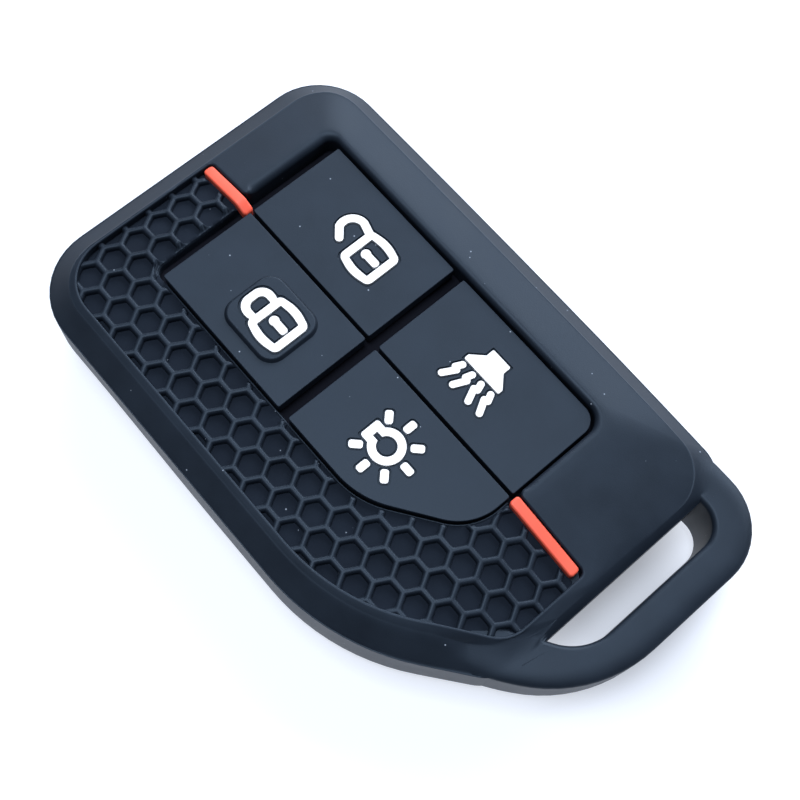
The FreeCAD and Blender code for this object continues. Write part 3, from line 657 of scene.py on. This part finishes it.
def beside_edge(flat):
    """Whether each plan point lies inside the grip's edge, which it does if an odd number of the
    edge's stretches lie beyond it, and the nearest point on the edge with that point's stretch."""
    edge = grip_edge()
    ahead = np.roll(edge, -1, axis=0)
    way = ahead - edge
    x, y = flat[:, :1], flat[:, 1:]
    spans = (edge[:, 1] > y) != (ahead[:, 1] > y)
    crossing = edge[:, 0] + (y - edge[:, 1]) / nonzero(way[:, 1]) * way[:, 0]
    inside = (spans & (x < crossing)).sum(1) % 2 == 1
    along = ((x - edge[:, 0]) * way[:, 0] + (y - edge[:, 1]) * way[:, 1]) / (way ** 2).sum(1)
    foot = edge + np.clip(along, 0, 1)[..., None] * way
    stretch = ((foot - flat[:, None]) ** 2).sum(2).argmin(1)
    return inside, foot[np.arange(len(flat)), stretch], stretch


def honeycomb():
    """The cell repeated on staggered columns and trimmed to the grip's edge. The ribs run into the
    frame, but fade out before the keypad, and points past the edge are drawn to just behind it.
    Gives the points with their wear and painted highlight, both nought here, the faces, and a mark
    of 1 for those on the floors."""
    columns, rows, frame_corners = np.arange(-14, 10), np.arange(-3, 7), 4
    rib_start, rib_fade, least_area = 0.03, 0.22, 5e-6
    cell, arch = honeycomb_cell()
    i, j = np.meshgrid(columns, rows, indexing="ij")
    middle = np.stack([i * cell_pitch * sqrt(3) / 2, (j + (i % 2) / 2) * cell_pitch], -1).reshape(-1, 2)
    first = np.array([left_x + cell_first_x, near_y + cell_first_y])
    plan = (first + middle)[:, None, None] + cell
    height = np.broadcast_to(arch[None, :, None], plan.shape[:3]).reshape(-1)
    flat = plan.reshape(-1, 2)
    inside, nearest, stretch = beside_edge(flat)
    gap = np.linalg.norm(flat - nearest, axis=1)
    drawn = np.minimum(1, hidden_edge / nonzero(gap))[:, None]
    flat = np.where(inside[:, None], flat, nearest + (flat - nearest) * drawn)
    at_frame = stretch < frame_corners * (ARC_STEPS + SIDE_STEPS)
    shown = np.clip((np.where(inside, gap, 0) - rib_start) / rib_fade, 0, 1)
    shown = np.where(at_frame, 1, shown)
    lift = rib_height * height * shown ** 2 * (3 - 2 * shown)
    faces = quads(*cell.shape[:2], False, True)
    marks = np.tile(np.arange(len(faces)) < len(floor_shares) * cell.shape[1], len(middle))
    faces = (faces + np.arange(len(middle))[:, None, None] * cell[..., 0].size).reshape(-1, 4)
    across, along = flat[faces[:, 2]] - flat[faces[:, 0]], flat[faces[:, 3]] - flat[faces[:, 1]]
    area = np.abs(across[:, 0] * along[:, 1] - across[:, 1] * along[:, 0]) / 2
    kept = (area > least_area) & (inside | (gap < hidden_edge))[faces].any(1)
    used = np.unique(faces[kept])
    points = np.column_stack([flat, roof(*flat.T) - cell_floor + lift, np.zeros(len(flat))])
    return points[used], np.searchsorted(used, faces[kept]), marks[kept].astype(int)


grip_points, grip_faces, floor_marks = honeycomb()
grip = finished("honeycomb_inlay", grip_points, grip_faces.tolist(), black_silicone, "sleeve",
                sharp=80, marks=floor_marks)
grip.data.materials.append(eroded_silicone)
# The surface is open and has no outside of its own, so its faces are turned upwards.
if sum(face.normal.z for face in grip.data.polygons) < 0:
    grip.data.flip_normals()
backing = grip.modifiers.new("backing", "SOLIDIFY")
backing.thickness = backing_depth * MM
backing.offset = -1
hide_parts("honeycomb_grip")


# Red stripes: two narrow accent bars set between grip and frame, level with the frame's surface.
# Bright red silicone, moulded in a second shot; the left one dips over the keypad's edge.

# Red silicone: an opaque warm red pigment in clear rubber, satin like the rest.
red_silicone = silicone("red_silicone_moulded", "#ea5a44", "#f0644d", sheen="#ffffff",
                        roughness=0.45, grain_height=0.012, dust=0.0)


def accent_bar(node, dip_run, dip):
    """Flat bar whose top follows the roof: its plan edge is carried up a wall and over a small
    rounded shoulder to the middle line, and the last stretch may dip."""
    below_roof, depth, shoulder, corner_radius = 0.22, 1.6, 0.28, 0.5
    (x0, y0, _), (x1, y1, _) = (np.array(corner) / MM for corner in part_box(node))
    edge = rounded_path([(x0, y0), (x1, y0), (x1, y1), (x0, y1)], [corner_radius] * 4)
    side = inward(edge)
    line = np.column_stack([np.clip(edge[:, 0], x0 + corner_radius, x1 - corner_radius),
                            np.full(len(edge), (y0 + y1) / 2)])

    def top(plan):
        past = np.clip(plan[:, 0] - (x1 - dip_run), 0, dip_run)
        return roof(plan[:, 0], np.full(len(plan), y1)) - below_roof - past / dip_run * dip

    rows = [(line, top(line) - depth), (edge, top(edge) - depth), (edge, top(edge) - 2 * shoulder)]
    for sine, cosine in quarter(steps=6):
        plan = edge + side * shoulder * (1 - cosine)
        rows.append((plan, top(plan) - shoulder * (1 - sine)))
    return rows_of(*rows, (line, top(line)))


stripe_dips = {"stripe_left": (1.9, 1.0), "stripe_right": (1.0, 0.0)}
for node, (dip_run, dip) in stripe_dips.items():
    bar = piece("accent_" + node, [(accent_bar(node, dip_run, dip), False, True)], red_silicone,
                "sleeve", sharp=60)
    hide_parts(node)


# Studio: white paper on a light table that burns out almost all shadow, its glow dimmed under the
# slot as a painted shadow; a broad soft box far and to the left, a small bright one overhead, and a
# camera above the near side, as a product is photographed.

scene = bpy.context.scene
table_half = 3.0
table = bpy.data.meshes.new("table")
table_corners = ((-1, -1), (1, -1), (1, 1), (-1, 1))
table.from_pydata([(x * table_half, y * table_half, 0) for x, y in table_corners], [], [(0, 1, 2, 3)])
floor = bpy.data.objects.new("table", table)
scene.collection.objects.link(floor)

# White paper: matte and uncoated, lit from below by the table, and dimmer under the slot as a painted
# shadow.
paper = bpy.data.materials.new("white_paper")
paper.use_nodes = True
paper_tree = paper.node_tree
paper_shader = paper_tree.nodes["Principled BSDF"]
paper_shader.inputs["Base Color"].default_value = linear("#a9aeb5")
paper_shader.inputs["Roughness"].default_value = 0.9
paper_shader.inputs["Emission Color"].default_value = linear("#f0f5ff")
# The glow fades under the slot as a painted shadow of the loop.
painted_shadow_radius, lit_radius, painted_shadow_glow, full_glow = 4.0, 20.0, 0.36, 0.75
slot_middle = ((body_end + slot_outer) / 2 * MM, (slot_near + slot_far) / 2 * MM, 0)
away = add(paper_tree, "VectorMath", {"operation": "DISTANCE"}, i1=slot_middle,
           i0=add(paper_tree, "TexCoord").outputs["Object"])
glow = add(paper_tree, "MapRange", {"interpolation_type": "SMOOTHSTEP"}, Value=away.outputs["Value"],
           From_Min=painted_shadow_radius * MM, From_Max=lit_radius * MM, To_Min=painted_shadow_glow, To_Max=full_glow)
paper_tree.links.new(glow.outputs["Result"], paper_shader.inputs["Emission Strength"])
table.materials.append(paper)

world = bpy.data.worlds.new("studio")
world.use_nodes = True
world.node_tree.nodes["Background"].inputs["Color"].default_value = linear("#dbe7f6")
world.node_tree.nodes["Background"].inputs["Strength"].default_value = 0.22
scene.world = world


def soft_box(name, place, wide, high, radiance, colour):
    """Area light aimed at the middle of the object, with its power from the radiance of its face."""
    light = bpy.data.lights.new(name, "AREA")
    light.shape = "RECTANGLE"
    light.size, light.size_y = wide, high
    light.energy = radiance * pi * wide * high
    light.color = linear(colour)[:3]
    made = bpy.data.objects.new(name, light)
    made.location = place
    made.rotation_mode = "QUATERNION"
    made.rotation_quaternion = made.location.normalized().to_track_quat("Z", "Y")
    scene.collection.objects.link(made)


soft_box("far_soft_box", (-0.29, 0.71, 0.48), wide=1.3, high=0.55, radiance=6.9, colour="#f2f6ff")
soft_box("top_soft_box", (-0.08, -0.05, 0.9), wide=0.3, high=0.3, radiance=21.0, colour="#f2f6ff")

camera_place = np.array([38.66, -40.33, 168.89]) * MM
forward = np.array([-0.2298, 0.2471, -0.9413])
right = np.array([0.6544, 0.7552, 0.0386])
forward = forward / np.linalg.norm(forward)
right = right - forward * (right @ forward)
right = right / np.linalg.norm(right)
turn = Matrix(np.column_stack([right, np.cross(right, forward), -forward]).tolist())
camera_data = bpy.data.cameras.new("camera")
camera_data.sensor_width = 36.0
camera_data.lens = 56.95
camera_data.clip_start = 0.01
camera = bpy.data.objects.new("camera", camera_data)
camera.matrix_world = Matrix.Translation(camera_place) @ turn.to_4x4()
scene.collection.objects.link(camera)
scene.camera = camera
scene.view_settings.view_transform = "Standard"
